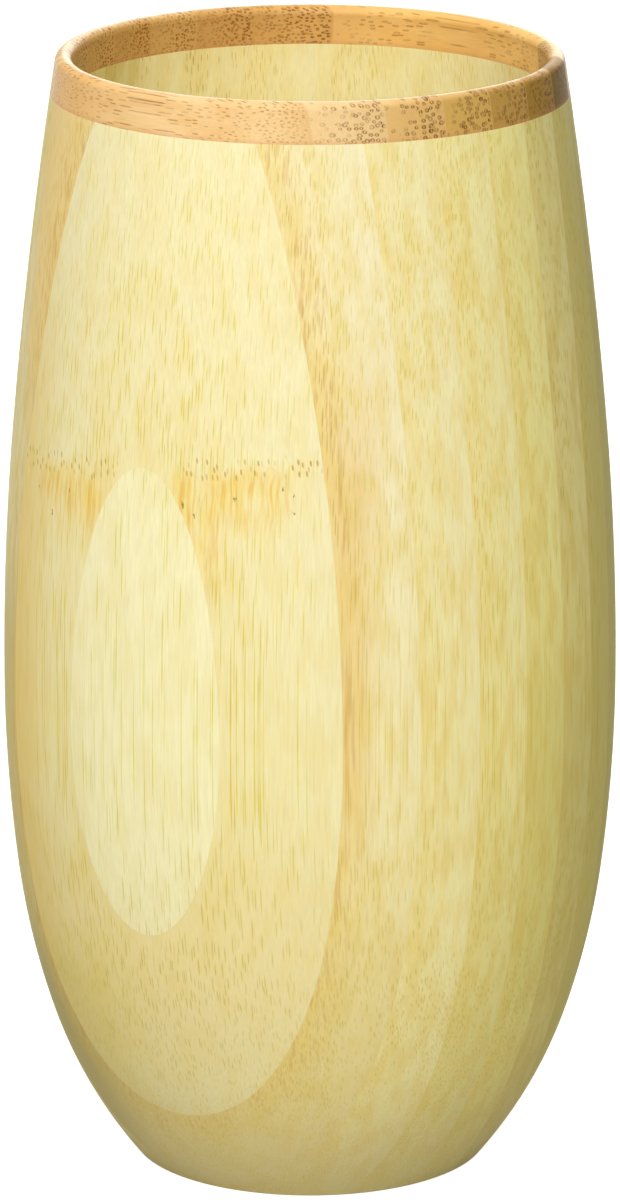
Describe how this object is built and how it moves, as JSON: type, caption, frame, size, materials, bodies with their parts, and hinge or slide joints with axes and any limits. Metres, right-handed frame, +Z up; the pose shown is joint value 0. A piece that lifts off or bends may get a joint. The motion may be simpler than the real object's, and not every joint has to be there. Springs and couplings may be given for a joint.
{
  "type": "bamboo cup",
  "caption": "Tall barrel-shaped tumbler turned from glued bamboo boards, with a darker bamboo rim; it holds a drink.",
  "frame": {"origin": "centre of the flat foot, on the surface that the cup stands on", "axes": "+Z up along the cup's axis; the body's boards are stacked along Y, the thin front slice towards -Y"},
  "size_m": [0.0816, 0.0816, 0.15],
  "materials": {
    "body_bamboo": "pale natural bamboo with a satin lacquer, grain upright",
    "rim_bamboo": "steamed, darker bamboo with a satin lacquer, grain level"
  },
  "bodies": {
    "root": {"body_board_1": "body_bamboo", "body_board_2": "body_bamboo", "body_board_3": "body_bamboo", "body_board_4": "body_bamboo", "body_board_5": "body_bamboo", "body_board_6": "body_bamboo", "body_board_7": "body_bamboo", "body_board_8": "body_bamboo", "body_board_9": "body_bamboo", "body_board_10": "body_bamboo", "body_board_11": "body_bamboo", "body_board_12": "body_bamboo", "rim_block_1": "rim_bamboo", "rim_block_2": "rim_bamboo", "rim_block_3": "rim_bamboo", "rim_block_4": "rim_bamboo", "rim_block_5": "rim_bamboo", "rim_block_6": "rim_bamboo", "rim_block_7": "rim_bamboo", "rim_block_8": "rim_bamboo", "rim_block_9": "rim_bamboo", "rim_block_10": "rim_bamboo", "rim_block_11": "rim_bamboo", "rim_block_12": "rim_bamboo", "rim_block_13": "rim_bamboo", "rim_block_14": "rim_bamboo", "rim_block_15": "rim_bamboo", "rim_block_16": "rim_bamboo"}
  },
  "joints": []
}
